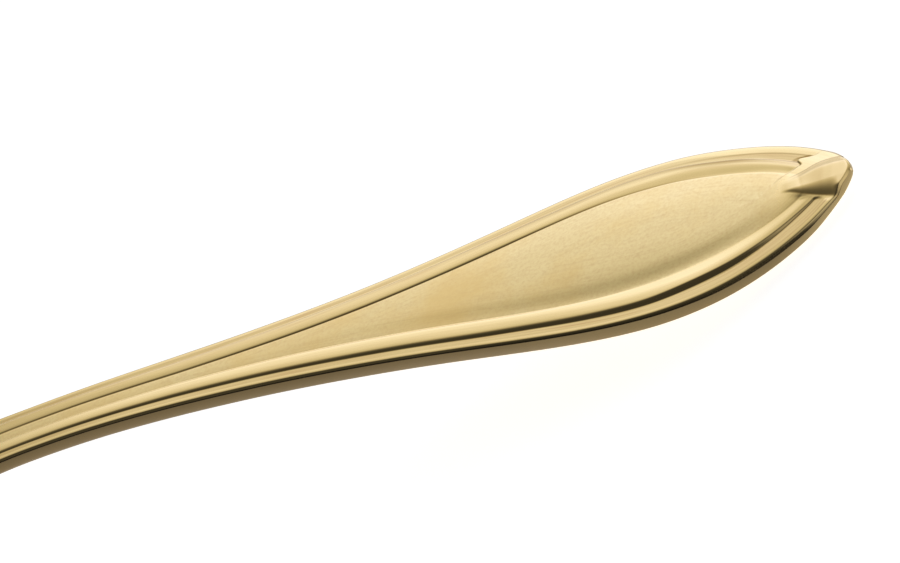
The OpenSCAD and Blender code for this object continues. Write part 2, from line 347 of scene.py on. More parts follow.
def bezier(points, t):
    """Points along a curve, from its two ends and the two points that pull it."""
    a, b, c, d = (np.array(p, float)[:, None] for p in points)
    return (1 - t) ** 3 * a + 3 * (1 - t) ** 2 * t * b + 3 * (1 - t) * t ** 2 * c + t ** 3 * d


def plan_outline():
    """The half width along the spoon, as four curves from the handle's tip to the bowl's tip."""
    draw_in = NARROW_AT - WIDE_AT
    flare = BOWL_WIDE - NARROW_AT
    bowl_end = SPOON_L - BOWL_WIDE
    curves = (
        ((0, 0), (0, BLADE_HALF * TIP_BLUNT_SHARE), (WIDE_AT * TIP_PULL_SHARE, BLADE_HALF),
         (WIDE_AT, BLADE_HALF)),
        ((WIDE_AT, BLADE_HALF), (WIDE_AT + draw_in * BLADE_PULL_SHARE, BLADE_HALF),
         (NARROW_AT - draw_in * STEM_PULL_SHARE, STEM_HALF), (NARROW_AT, STEM_HALF)),
        ((NARROW_AT, STEM_HALF), (NARROW_AT + flare * NECK_PULL_SHARE, STEM_HALF),
         (BOWL_WIDE - flare * BOWL_PULL_SHARE, BOWL_HALF), (BOWL_WIDE, BOWL_HALF)),
        ((BOWL_WIDE, BOWL_HALF), (BOWL_WIDE + bowl_end * BOWL_TIP_PULL_SHARE, BOWL_HALF),
         (SPOON_L, BOWL_HALF * BOWL_TIP_BLUNT_SHARE), (SPOON_L, 0)),
    )
    t = np.linspace(0, 1, CURVE_POINTS)
    rows = [bezier(c, t if i == 0 else t[1:]) for i, c in enumerate(curves)]
    return np.concatenate(rows, axis=1)


def outline_heading():
    """Which way the outline runs at each of its points: its share along the spoon and its share across."""
    run, rise = np.gradient(OUTLINE[0]), np.gradient(OUTLINE[1])
    size = np.hypot(run, rise)
    return run / size, rise / size


OUTLINE = plan_outline()
HEADING_ALONG, HEADING_ACROSS = outline_heading()


def half_width(s):
    """Half width of the spoon at a place along it."""
    return np.interp(s, OUTLINE[0], OUTLINE[1])


def inset_width(s, d):
    """Half width at s of the outline drawn d further in."""
    place = OUTLINE[0] + d * HEADING_ACROSS
    width = OUTLINE[1] - d * HEADING_ALONG
    keep = width > 0
    return np.interp(s, place[keep], width[keep], left=0)


def edge_height(s):
    """Height of the border's edge and the bowl's rim above the table."""
    arch_at, arch = EDGE_LINE[-1]
    neck_slope = math.tan(NECK_TILT)
    drop = arch - neck_slope * (DROP_AT - arch_at) / 2
    knots = ((arch_at, arch, 0), (DROP_AT, drop, -neck_slope), (BOWL_WIDE, RIM_Z, 0),
             (SPOON_L, RIM_Z + RIM_RISE, 2 * RIM_RISE / (SPOON_L - BOWL_WIDE)))
    z = along(s, EDGE_LINE)
    for (s0, z0, m0), (s1, z1, m1) in zip(knots, knots[1:]):
        run = s1 - s0
        curve = curve_between(np.clip((s - s0) / run, 0, 1), run, z0, m0, z1, m1)
        z = np.where((s >= s0) & (s <= s1), curve, z)
    return z


def distance_inside(s, v):
    """Distance of each point of the handle from the outline."""
    path = OUTLINE[:, OUTLINE[0] < DROP_AT].T
    path = np.concatenate([path[::-1] * (1, -1), path[1:]])
    points = np.stack([s.ravel(), v.ravel()], 1)
    distance = np.empty(len(points))
    for i in range(0, len(points), POINTS_AT_ONCE):
        p = points[i:i + POINTS_AT_ONCE]
        gap = (p[:, None, 0] - path[None, :, 0]) ** 2 + (p[:, None, 1] - path[None, :, 1]) ** 2
        near = np.clip(gap.argmin(1), 1, len(path) - 2)
        best = np.full(len(p), OUT_OF_REACH)
        for a, b in ((near - 1, near), (near, near + 1)):
            run = path[b] - path[a]
            t = np.clip(((p - path[a]) * run).sum(1) / (run ** 2).sum(1), 0, 1)
            best = np.minimum(best, np.hypot(*(p - path[a] - t[:, None] * run).T))
        distance[i:i + POINTS_AT_ONCE] = best
    return distance.reshape(s.shape)


MIDDLE = np.linspace(0, DROP_AT - MIDDLE_SHORT, MIDDLE_STATIONS)
MIDDLE_D = distance_inside(MIDDLE, MIDDLE * 0)


def middle_distance(s):
    """Distance from the middle line to the outline."""
    return np.interp(s, MIDDLE, MIDDLE_D)


def wall_distance(s, v):
    """Distance of each point of the spoon in from the side wall."""
    return np.where(s < DROP_AT, distance_inside(s, v), np.maximum(0, half_width(s) - np.abs(v)))


def border_end(s):
    """How far in the border ends, and the share it keeps of its width where the stem has no room for it."""
    inner = along(s, BORDER, INNER_AT) + LAST_DROP_W
    kept = np.minimum(1, BORDER_MOST_SHARE * half_width(s) / inner)
    return inner, np.where(s < WHOLE_BORDER_TO, 1, kept)


def flanks(d, knots, softs):
    """Height of straight flanks from knot to knot, each knot turned softly."""
    slopes = [(z1 - z0) / (d1 - d0) for (d0, z0), (d1, z1) in zip(knots, knots[1:])] + [0]
    height = slopes[0] * d
    for (at, _), soft, before, after in zip(knots[1:], softs, slopes, slopes[1:]):
        height = height + (after - before) * (ramp(d - at, soft) - ramp(-at, soft))
    return height


def border_relief(s, d, stand, far):
    """Height over the edge at a distance in from the side wall, with the threads standing or not."""
    border = [along(s, BORDER, column) for column in range(len(BORDER[0]))]
    level = border[INNER_H] - border[LAST_DROP]
    knots = ((0, 0), (border[CHAMFER_W], border[CHAMFER_H]), (border[OUTER_W], border[OUTER_H]),
             (border[OUTER_W] + border[WALL_W], border[OUTER_H] + border[WALL_H]),
             (border[CREST_AT], border[CREST_H]), (border[INNER_AT], border[INNER_H]),
             (border[INNER_AT] + LAST_DROP_W, level))
    softs = list(BORDER_SOFT)
    softs[WALL_FOOT] += (STEM_SOFT - BORDER_SOFT[WALL_FOOT]) * grows(s, *STEM_SOFT_START)
    threaded = flanks(d, knots, softs)
    plain = []
    for start, share in ((PLAIN_FAR, FAR_SHOULDER_SHARE), (PLAIN_NEAR, NEAR_SHOULDER_SHARE)):
        end = (np.maximum(PLAIN_W, border[INNER_AT]), level)
        knots = (*start, (PLAIN_SHOULDER_AT, share * level), end)
        plain.append(flanks(d, knots, [PLAIN_SOFT] * (len(knots) - 1)))
    flat = plain[0] * far + plain[1] * (1 - far)
    return flat + (threaded - flat) * stand


def corner_facet(s, d):
    """How much the facet along the side wall takes off the corner."""
    return along(s, CORNER) / CORNER_W * (ramp(CORNER_W - d, CORNER_SOFT)
                                          - ramp(CORNER_W - CLEAR_OF_CORNER, CORNER_SOFT))


def ridge_relief(s, v, d):
    """The ridge that grows to the tip: round on the near side, flat and then sloping on the far side."""
    far_foot = np.maximum(along(s, RIDGE, FAR_FOOT), LEAST_FOOT)
    near_foot = along(s, RIDGE, NEAR_FOOT)
    crest = np.maximum(near_foot, 0) * RIDGE_CREST_SHARE
    flank = np.maximum(near_foot + crest, LEAST_FOOT)
    down = np.maximum(0, crest - v) / flank
    cut = fades(s, *FACET_END)
    facet = ramp(down - FACET_FROM_SHARE, FACET_SOFT) / (1 - FACET_FROM_SHARE)
    near = 1 - (1 - cut) * down ** 2 - cut * facet
    over = (v - crest) / (far_foot - crest)
    flat_slope = RIDGE_FLAT_DROP_SHARE / RIDGE_FLAT_SHARE
    end_slope = (1 - RIDGE_FLAT_DROP_SHARE) / (1 - RIDGE_FLAT_SHARE)
    far = 1 - flat_slope * over - (end_slope - flat_slope) * ramp(over - RIDGE_FLAT_SHARE, RIDGE_FLAT_SOFT)
    profile = np.maximum(np.where(v > crest, far, near), DEEPEST_SHARE)
    lift = np.maximum(along(s, RIDGE, RIDGE_H), 0) * profile
    soft = RIDGE_SOFT * fades(s, *RIDGE_SOFT_END) + RIDGE_LEAST_SOFT
    at_rim = np.clip(1 - d / RIDGE_END, 0, 1)
    drop = RIDGE_END_DROP * at_rim ** 2 * (v < far_foot) * (v > crest - flank)
    return (ramp(lift, soft) - drop) * (s < RIDGE_L)


def ridge_foot(s, v):
    """Distance from the middle to the foot of the ridge, on the side that v lies on."""
    return np.maximum(0, np.where(v > 0, along(s, RIDGE, FAR_FOOT), along(s, RIDGE, NEAR_FOOT)))


def past_end(s, v, d):
    """How far each point lies past the end of the threads, away from the ridge."""
    outer = fades(d, *OUTER_THREAD_END)
    middle = INNER_MIDDLE + (OUTER_MIDDLE - INNER_MIDDLE) * outer
    half = INNER_HALF + (OUTER_HALF - INNER_HALF) * outer
    near = NEAR_GAP + NEAR_ROUND * np.minimum(NEAR_ROUND_MOST, ((d - middle) / half) ** 2)
    return np.abs(v) - ridge_foot(s, v) - np.where(v > 0, along(d, FAR_ENDS), near)


def threads(s, v, d):
    """One where the border's threads stand, nought on the plain strip beside the ridge."""
    stand = past_end(s, v, d) / THREAD_END + 0.5 + STRIP_PUSH * grows(s, *STRIP_CLOSES)
    return np.where(s > STRIP_END, 1, ease(stand))


def thread_ends(s, stand):
    """One in the middle of the slope that ends a thread, nought away from it."""
    return 4 * stand * (1 - stand) * (s < STRIP_END)


def across_ridge(s, v, d):
    """Distance in from the side wall, carried across under the ridge, and how far over it a point is."""
    most = half_width(s) - SLIVER
    far_foot = np.clip(along(s, RIDGE, FAR_FOOT) * fades(s, *FAR_FOOT_END), SLIVER, most)
    near_foot = np.clip(along(s, RIDGE, NEAR_FOOT), SLIVER, most)
    over = np.clip((v + near_foot) / (far_foot + near_foot), 0, 1)
    under = distance_inside(s, near_foot) * (1 - over) + distance_inside(s, far_foot) * over
    return np.where((v > -near_foot) & (v < far_foot), under, d), over


def field_relief(s, v, d, stand, over):
    """The crown of the field, its near hollow, and the falls and dips at the ends of the threads."""
    inner, kept = border_end(s)
    inside = d - inner * kept
    reach = np.maximum(LEAST_FIELD, middle_distance(s) - inner * kept)
    t = np.clip(inside / reach, 0, 1)
    crown = along(s, FIELD_SLOPE) * reach / CROWN_POWER * (1 - (1 - t) ** CROWN_POWER)
    width = np.minimum(NEAR_HOLLOW_W, reach)
    side = np.clip(inside / width, 0, 1)
    hollowed = along(s, NEAR_HOLLOW) * width * side * (1 - side) ** 2 * (v < 0)
    crest_at = along(s, BORDER, CREST_AT)
    past_crest = ease((d - crest_at) / (inner - crest_at))
    fall = past_crest * (1 - np.clip(inside / np.maximum(reach, FALL_W), 0, 1))
    far_fall = along(s, FAR_FALL) * fall * stand * over
    near_foot = np.clip(along(s, RIDGE, NEAR_FOOT), SLIVER, half_width(s) - SLIVER)
    near_fall = along(s, NEAR_FALL) * fall * grows(-v, near_foot, NEAR_FALL_CLEAR)
    dip = END_DIP * thread_ends(s, stand) * grows(v, *END_DIP_SIDE) * grows(d, *END_DIP_RIM)
    return crown - hollowed - far_fall - near_fall - dip


def bowl_mix(s):
    """Nought on the handle, one on the bowl."""
    return ease((s - NECK_CUT) / (2 * (BOWL_CUT - NECK_CUT)))


def hollow(s, w):
    """Depth of the bowl's hollow in the middle of its width."""
    neck_l = BOWL_CUT - NECK_CUT
    return BOWL_D * (w / BOWL_HALF) ** HOLLOW_POWER * ease((s - BOWL_CUT + neck_l / 2) / neck_l)


def dish(q):
    """Share of the hollow's depth at a share of the way from its middle to its rim."""
    q = np.clip(q, 0, 1)
    return 1 - DISH_SHARE * q ** 2 - (1 - DISH_SHARE) * q ** 4


def bowl_hollow(s, v):
    """Depth of the bowl's hollow under its flat rim."""
    w = half_width(s)
    room = np.maximum(RIM_W, w - RIM_W)
    return hollow(s, w) * dish(1 - ramp(room - np.abs(v), LIP_SOFT) / room)


def satin_share(s, v, d):
    """One on the satin field, nought on what is polished."""
    inner, kept = border_end(s)
    satin = grows(d - inner * kept, *SATIN_EDGE) * (1 - ease(bowl_mix(s) * 2))
    return satin * grows(s + SATIN_SLANT * np.abs(v), *SATIN_START)


def top_surface(s, v):
    """Height of the upper face, and how satin it is there."""
    rim_d = wall_distance(s, v)
    d, over = across_ridge(s, v, rim_d)
    stand = threads(s, v, d)
    kept = border_end(s)[1]
    handle = (border_relief(s, d / kept, stand, over) + field_relief(s, v, d, stand, over)
              + ridge_relief(s, v, rim_d))
    z = edge_height(s) + (1 - bowl_mix(s)) * handle - corner_facet(s, rim_d) - bowl_hollow(s, v)
    return z, satin_share(s, v, d)


def dark_ends(s, v, d, stand):
    """Painted shade: the dark curves that close the inner and the outer thread on the far side."""
    inner_end = INNER_END_DARK * thread_ends(s, stand) * fades(d, *INNER_END_TO) * grows(d, *INNER_END_FROM)
    past = past_end(s, v, d)
    outer_end = OUTER_END_DARK * grows(past, *OUTER_END_START) * fades(past, *OUTER_END_STOP)
    outer_end = outer_end * (s < OUTER_END_L) * (1 - OUTER_END_PALER * grows(d, *OUTER_END_PALER_FROM))
    return inner_end + outer_end * fades(d, *OUTER_END_TO) * grows(d, *OUTER_END_FROM)


def painted_shade_and_streak_inset(s, v):
    """Painted shade along the far side's thread feet, ledge, thread ends and field edge and along the ridge's
    foot, with the outer thread and the ridge a little darker, and the distance in from the wall that the
    streaks follow.
    """
    inner, kept = border_end(s)
    d = wall_distance(s, v) / kept
    stand = threads(s, v, d)
    far = v > 0
    outer_top = along(s, BORDER, OUTER_W) + along(s, BORDER, WALL_W)
    off = d - outer_top - FOOT_LINE_OUT
    foot = along(s, FOOT_DARK) * soft_line(off, np.where(off > 0, FOOT_FADE_W, FOOT_LINE_W))
    ledge = along(s, LEDGE_DARK) * soft_line(d - LEDGE_AT, LINE_W)
    on_blade = grows(s, *BLADE_LINES_START)
    field_edge = FIELD_EDGE_DARK * soft_line(d - inner + LAST_DROP_W / 2, LINE_W) * on_blade
    start = np.where(far, LEDGE_AT + (OUTER_FROM - LEDGE_AT) * on_blade, OUTER_FROM) - OUTER_START_BACK
    outer = OUTER_DARKER * grows(d, start, OUTER_START_W) * fades(d, outer_top, OUTER_END_W)
    # Painted shade: dark lines where the steep walls, creases and thread ends would fall into shade
    lines = (foot + ledge + field_edge) * stand * far + dark_ends(s, v, d, stand) * far + outer * stand
    ridge = ridge_foot(s, v)
    from_foot = ridge - np.abs(v)
    ridge_line = soft_line(from_foot, LINE_W) * fades(s, *RIDGE_LINE_TO) * ease(ridge / RIDGE_LINE_LEAST)
    # The ridge is made a little darker inside its foot, fading out between three and five millimetres from
    # the tip
    darker_ridge = RIDGE_DARKER * ease(from_foot / RIDGE_DARKER_W) * fades(s, *RIDGE_DARKER_TO)
    dark = np.clip(lines + RIDGE_LINE_DARK * ridge_line + darker_ridge, 0, 1) * (1 - bowl_mix(s))
    return dark, np.where(from_foot > 0, 0, d)


def back_surface(s, v, w):
    """Height of the back: crowned under the handle, dished under the bowl, and never below the table."""
    bowl = bowl_mix(s)
    u = np.clip(np.abs(v) / w, 0, 1)
    z = (edge_height(s) - along(s, EDGE_T) - (1 - bowl) * along(s, BACK_CROWN) * (1 - u ** 2)
         - (hollow(s, w) + bowl * (BOWL_T - RIM_T)) * dish(u))
    return np.maximum(0, z)


def side_wall(s, corner, foot):
    """The side wall from just under its corner, rounded in to the back: places, half widths and heights."""
    run, rise = (np.interp(s, OUTLINE[0], share)[:, None] for share in (HEADING_ALONG, HEADING_ACROSS))
    angle = np.linspace(0, math.pi / 2, WALL_ROWS)
    inset = along(s, TUCK)[:, None] * (1 - np.cos(angle))
    places = s[:, None] + rise * inset
    widths = np.maximum(0, half_width(s)[:, None] - run * inset)
    heights = foot[:, None] + ROUNDED_SHARE * (corner - foot)[:, None] * (1 - np.sin(angle))
    return places, widths, heights


def painted_wall_reflection_share(s, top_rows, over_foot):
    """One on the side wall's painted dark brown reflection, less at its corner, near the tip and near its
    lower edge.
    """
    # Painted dark reflection: the side wall and the facet over it are coloured brown, paler towards the tip
    # and the wall's lower edge
    wall_reflection = np.zeros_like(over_foot)
    wall_reflection[:, :CORNER_ROWS] = 1
    wall_reflection[:, CORNER_ROWS:FAR_WALL_REFLECTION_ROWS] = FAR_WALL_REFLECTION
    near = NEAR_WALL_REFLECTION * fades(s, *NEAR_WALL_REFLECTION_TO)
    wall_reflection[:, top_rows - NEAR_WALL_REFLECTION_ROWS:top_rows - CORNER_ROWS] = near[:, None]
    wall_reflection[:, top_rows - CORNER_ROWS:top_rows + WALL_ROWS] = 1
    wall_reflection[:, -WALL_ROWS:] = 1
    paler = np.zeros_like(over_foot)
    for amount, end, run in PALER_TO_TIP:
        paler += amount * fades(s, end, run)[:, None]
    paler[:, top_rows:] += PALER_LOW * np.clip(1 - over_foot[:, top_rows:] / PALER_LOW_H, 0, 1)
    return wall_reflection * (1 - WALL_PALER * paler) * (1 - bowl_mix(s))[:, None]


def stations():
    """Places along the spoon at which its section is drawn."""
    tip = POINT + (TIP_TO - POINT) * np.linspace(0, 1, TIP_STATIONS, endpoint=False) ** 2
    ends = np.linspace(TIP_TO, ENDS_TO, ENDS_STATIONS, endpoint=False)
    blade = np.linspace(ENDS_TO, NECK_CUT, BLADE_STATIONS, endpoint=False)
    bowl = np.linspace(NECK_CUT, SPOON_L - BOWL_END_L, BOWL_STATIONS, endpoint=False)
    spacing = np.linspace(1, 0, BOWL_END_STATIONS) ** 2
    bowl_end = SPOON_L - BOWL_POINT - (BOWL_END_L - BOWL_POINT) * spacing
    return np.concatenate([tip, ends, blade, bowl, bowl_end])


def section_widths(s):
    """Distances from the middle of the points of the upper face, from the side wall to the middle."""
    w = half_width(s)
    kept = border_end(s)[1]
    corner = CORNER_W * np.array(CORNER_STEPS)
    rest = np.linspace(AFTER_CORNER * CORNER_W, BORDER_REACH, BORDER_ROWS + 1 - len(corner))
    steps = np.concatenate([corner, rest])
    insets = np.linspace(0, BORDER_REACH, INSETS)
    table = np.array([inset_width(s, d) for d in insets])
    handle = np.empty((BORDER_ROWS + FIELD_ROWS + 1, len(s)))
    for k in range(len(s)):
        border = np.interp(steps * kept[k], insets, table[:, k])
        field = np.linspace(border[-1], 0, FIELD_ROWS + 1)[1:]
        handle[:, k] = np.concatenate([border, field])
    least = np.concatenate([np.linspace(1, BORDER_LEAST_SHARE, BORDER_ROWS + 1),
                            np.linspace(BORDER_LEAST_SHARE, 0, FIELD_ROWS + 1)[1:]])
    handle = np.maximum(handle, least[:, None] * w)
    handle[0] = w
    bowl = np.linspace(1, 0, len(handle))[:, None] ** BOWL_ROW_POWER * w
    mix = bowl_mix(s)
    return (handle * (1 - mix) + bowl * mix).T


def spoon_skin():
    """Positions of the closed skin, one row of points for each station, and its finish, painted shade and
    painted reflection there.
    """
    s = stations()
    w = half_width(s)
    across = section_widths(s)
    top_v = np.concatenate([across, -across[:, -2::-1]], axis=1)
    top_rows = top_v.shape[1]
    top_s = np.repeat(s[:, None], top_rows, axis=1)
    top_z, satin = top_surface(top_s, top_v)
    painted_shade, inward = painted_shade_and_streak_inset(top_s, top_v)
    foot = back_surface(s, w, w)
    wall_s, wall_v, wall_z = side_wall(s, top_z[:, 0], foot)
    share = np.linspace(1, -1, 2 * BACK_ROWS + 1)[1:-1]
    back_s = np.repeat(wall_s[:, -1:], len(share), 1)
    back_v = wall_v[:, -1:] * share
    back_z = back_surface(s[:, None], back_v, np.maximum(wall_v[:, -1:], SLIVER))
    xs = TIP_X - np.concatenate([top_s, wall_s, back_s, wall_s[:, ::-1]], axis=1)
    ys = np.concatenate([top_v, -wall_v, -back_v, wall_v[:, ::-1]], axis=1)
    zs = np.concatenate([top_z, wall_z, back_z, wall_z[:, ::-1]], axis=1)
    below = np.zeros((len(s), ys.shape[1] - top_rows))
    finish = {
        "satin": np.concatenate([satin, below], axis=1),
        # The edge attribute carries the side wall's painted dark brown reflection
        "edge": painted_wall_reflection_share(s, top_rows, zs - foot[:, None]),
        "painted_shade": np.concatenate([painted_shade, below], axis=1),
        "inward": np.concatenate([inward, below + WALL_INWARD], axis=1),
    }
    return np.stack([xs, ys, zs], -1) * MM, finish


def deselect_all():
    for o in bpy.context.selected_objects:
        o.select_set(False)


def make_spoon():
    """A sheet of quads, wrapped round into the closed section and merged along its seam."""
    points, finish = spoon_skin()
    rows, ring = points.shape[:2]
    deselect_all()
    bpy.ops.mesh.primitive_grid_add(x_subdivisions=rows - 1, y_subdivisions=ring, size=1)
    spoon = bpy.context.object
    spoon.name = "teaspoon"
    mesh = spoon.data
    flat = np.empty(len(mesh.vertices) * 3)
    mesh.vertices.foreach_get("co", flat)
    flat = flat.reshape(-1, 3)
    row = np.rint((flat[:, 0] + 0.5) * (rows - 1)).astype(int)
    col = np.rint((flat[:, 1] + 0.5) * ring).astype(int) % ring
    mesh.vertices.foreach_set("co", points[row, col].ravel())
    for name, values in finish.items():
        mesh.attributes.new(name, "FLOAT", "POINT").data.foreach_set("value", values[row, col])
    mesh.update()
    bpy.ops.object.mode_set(mode="EDIT")
    bpy.ops.mesh.select_all(action="SELECT")
    bpy.ops.mesh.remove_doubles(threshold=WELD)
    bpy.ops.mesh.select_all(action="DESELECT")
    bpy.ops.mesh.select_non_manifold()
    bpy.ops.mesh.edge_face_add()
    bpy.ops.mesh.select_all(action="SELECT")
    bpy.ops.mesh.normals_make_consistent(inside=False)
    bpy.ops.object.mode_set(mode="OBJECT")
    bpy.ops.object.shade_smooth()
    return spoon


# Colours of the gold: polished, satin, its warmer patches, its darker specks and streaks, the painted shade
# along its lines and the painted dark reflection on the side wall
POLISHED = (0.94, 0.715, 0.325, 1)
SATIN = (1.0, 0.785, 0.362, 1)
WARM = (0.94, 0.66, 0.24, 1)
RUBBED = (0.74, 0.47, 0.20, 1)
PAINTED_SHADE_BROWN = (0.345, 0.21, 0.045, 1)
PAINTED_WALL_REFLECTION = (0.146, 0.104, 0.050, 1)

# Patterns of the finish: how fine the grain, the brush marks, the warm patches and the streaks are
NOISE_ROUGH = 0.62
GRAIN_PER_METRE = 4200
GRAIN_DETAIL = 4
BRUSH_TURN = math.radians(-52)
BRUSH_PER_METRE = (420, 5200, 420)
BRUSH_DETAIL = 3
PATCHES_PER_METRE = 90
PATCH_DETAIL = 5
STREAKS_ACROSS = 7.0
STREAKS_PER_METRE = 160
STREAK_DETAIL = 4

# How strongly a pattern colours the gold: least, most, and the stretch of the pattern between them
GRAIN_TINT = (0, 0.30, 0.42, 0.70)
PATCH_TINT = (0, 0.75, 0.44, 0.66)
STREAK_TINT = (0, 0.8, 0.46, 0.72)
# How much more strongly the streaks tint the gold inside the painted shade
STREAK_IN_PAINTED_SHADE = (0.25, 1, 0, 0.3)

# Roughness of the two finishes and what the patterns add to it, and the depth of the brushed grain
POLISHED_ROUGH = 0.12
SATIN_ROUGH = 0.36
GRAIN_ROUGH = 0.07
BRUSH_ROUGH = 0.05
STREAK_ROUGH = 0.05
STREAK_DEPTH_SHARE = 0.2
SATIN_DEPTH = 2.5e-6


def noise(nodes, links, vector, scale, detail):
    node = nodes.new("ShaderNodeTexNoise")
    node.inputs["Scale"].default_value = scale
    node.inputs["Detail"].default_value = detail
    node.inputs["Roughness"].default_value = NOISE_ROUGH
    links.new(vector, node.inputs["Vector"])
    return node.outputs["Fac"]


def math_node(nodes, links, operation, a, b):
    node = nodes.new("ShaderNodeMath")
    node.operation = operation
    for value, socket in zip((a, b), node.inputs):
        if isinstance(value, (int, float)):
            socket.default_value = value
        else:
            links.new(value, socket)
    return node.outputs[0]


def spread(nodes, links, value, low, high, start=0.0, end=1.0):
    """The value, carried from one range to another."""
    node = nodes.new("ShaderNodeMapRange")
    for name, number in (("From Min", start), ("From Max", end), ("To Min", low), ("To Max", high)):
        node.inputs[name].default_value = number
    links.new(value, node.inputs["Value"])
    return node.outputs["Result"]


def blend(nodes, links, share, first, second):
    """Two colours, mixed by a share."""
    node = nodes.new("ShaderNodeMix")
    node.data_type = "RGBA"
    links.new(share, node.inputs[0])
    for value, socket in ((first, node.inputs[6]), (second, node.inputs[7])):
        if isinstance(value, tuple):
            socket.default_value = value
        else:
            links.new(value, socket)
    return node.outputs[2]


def attribute(nodes, name):
    node = nodes.new("ShaderNodeAttribute")
    node.attribute_name = name
    return node.outputs["Fac"]


def brush_marks(nodes, links, place):
    """Fine marks that run one way over the field."""
    turned = nodes.new("ShaderNodeMapping")
    turned.inputs["Rotation"].default_value = (0, 0, BRUSH_TURN)
    turned.inputs["Scale"].default_value = BRUSH_PER_METRE
    links.new(place, turned.inputs["Vector"])
    return noise(nodes, links, turned.outputs[0], 1, BRUSH_DETAIL)


def polish_streaks(nodes, links, place, inward):
    """Long streaks that follow the border round the spoon."""
    split = nodes.new("ShaderNodeSeparateXYZ")
    links.new(place, split.inputs[0])
    lines = nodes.new("ShaderNodeCombineXYZ")
    links.new(math_node(nodes, links, "MULTIPLY", inward, STREAKS_ACROSS), lines.inputs[0])
    links.new(math_node(nodes, links, "MULTIPLY", split.outputs[0], STREAKS_PER_METRE), lines.inputs[1])
    links.new(math_node(nodes, links, "MULTIPLY", split.outputs[2], STREAKS_PER_METRE), lines.inputs[2])
    return noise(nodes, links, lines.outputs[0], 1, STREAK_DETAIL)


def light_gold():
    """Light gold on steel: brushed satin in the field, polished elsewhere, with painted shade along the
    border's lines and a painted dark brown reflection on the side wall.
    """
    mat = bpy.data.materials.new("light_gold")
    mat.use_nodes = True
    nodes, links = mat.node_tree.nodes, mat.node_tree.links
    shader = nodes["Principled BSDF"]
    shader.inputs["Metallic"].default_value = 1
    place = nodes.new("ShaderNodeTexCoord").outputs["Object"]
    satin, edge, painted_shade, inward = (attribute(nodes, name) for name in ("satin", "edge", "painted_shade", "inward"))
    grain = noise(nodes, links, place, GRAIN_PER_METRE, GRAIN_DETAIL)
    patches = noise(nodes, links, place, PATCHES_PER_METRE, PATCH_DETAIL)
    brush = brush_marks(nodes, links, place)
    streak = polish_streaks(nodes, links, place, inward)

    colour = blend(nodes, links, satin, POLISHED, SATIN)
    specks = math_node(nodes, links, "MULTIPLY", spread(nodes, links, grain, *GRAIN_TINT), satin)
    colour = blend(nodes, links, specks, colour, RUBBED)
    warmth = math_node(nodes, links, "MULTIPLY", spread(nodes, links, patches, *PATCH_TINT), satin)
    colour = blend(nodes, links, warmth, colour, WARM)
    # The streaks tint the gold much more strongly inside the painted shade, darkening it further
    streaks_and_painted_shade = math_node(nodes, links, "MULTIPLY", spread(nodes, links, streak, *STREAK_TINT),
                     spread(nodes, links, painted_shade, *STREAK_IN_PAINTED_SHADE))
    colour = blend(nodes, links, streaks_and_painted_shade, colour, RUBBED)
    # Painted dark reflection: the side wall is coloured brown
    colour = blend(nodes, links, edge, colour, PAINTED_WALL_REFLECTION)
    # Painted shade: the border's lines are darkened to brown
    colour = blend(nodes, links, painted_shade, colour, PAINTED_SHADE_BROWN)
    links.new(colour, shader.inputs["Base Color"])

    fine = math_node(nodes, links, "ADD", spread(nodes, links, grain, -GRAIN_ROUGH, GRAIN_ROUGH),
                     spread(nodes, links, brush, -BRUSH_ROUGH, BRUSH_ROUGH))
    fine = math_node(nodes, links, "MULTIPLY", fine, satin)
    rough = math_node(nodes, links, "ADD", spread(nodes, links, satin, POLISHED_ROUGH, SATIN_ROUGH), fine)
    rough = math_node(nodes, links, "ADD", rough, math_node(nodes, links, "MULTIPLY", streak, STREAK_ROUGH))
    links.new(rough, shader.inputs["Roughness"])

    height = math_node(nodes, links, "MULTIPLY", math_node(nodes, links, "ADD", brush, grain), satin)
    streak_depth = spread(nodes, links, edge, STREAK_DEPTH_SHARE, 0)
    height = math_node(nodes, links, "ADD", height, math_node(nodes, links, "MULTIPLY", streak, streak_depth))
    bump = nodes.new("ShaderNodeBump")
    bump.inputs["Distance"].default_value = SATIN_DEPTH
    links.new(height, bump.inputs["Height"])
    links.new(bump.outputs[0], shader.inputs["Normal"])
    return mat


spoon = make_spoon()
spoon.data.materials.append(light_gold())
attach(spoon, "root")
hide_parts("bowl", "neck", "stem", "blade", "tip")


# The camera, in the tilted frame of the blade: how high, how far round towards the tip, and how it is rolled
BLADE_TILT = math.radians(11)
TIP_H = 1.15
VIEW_RISE = math.radians(37)
VIEW_TURN = math.radians(32)
VIEW_ROLL = math.radians(37.25)
VIEW_DISTANCE = 0.4
VIEW_NEAREST = 0.01
VIEW_FARTHEST = 20
LENS_PIXELS = 5700
SENSOR_WIDTH = 36
PHOTO_W, PHOTO_H = 900, 563
TIP_PIXEL = (850, 168)


def blade_to_world(v):
    """A direction given along the blade, across it and square to it."""
    c, s = math.cos(BLADE_TILT), math.sin(BLADE_TILT)
    return Vector((v[0] * c + v[2] * s, v[1], v[2] * c - v[0] * s))


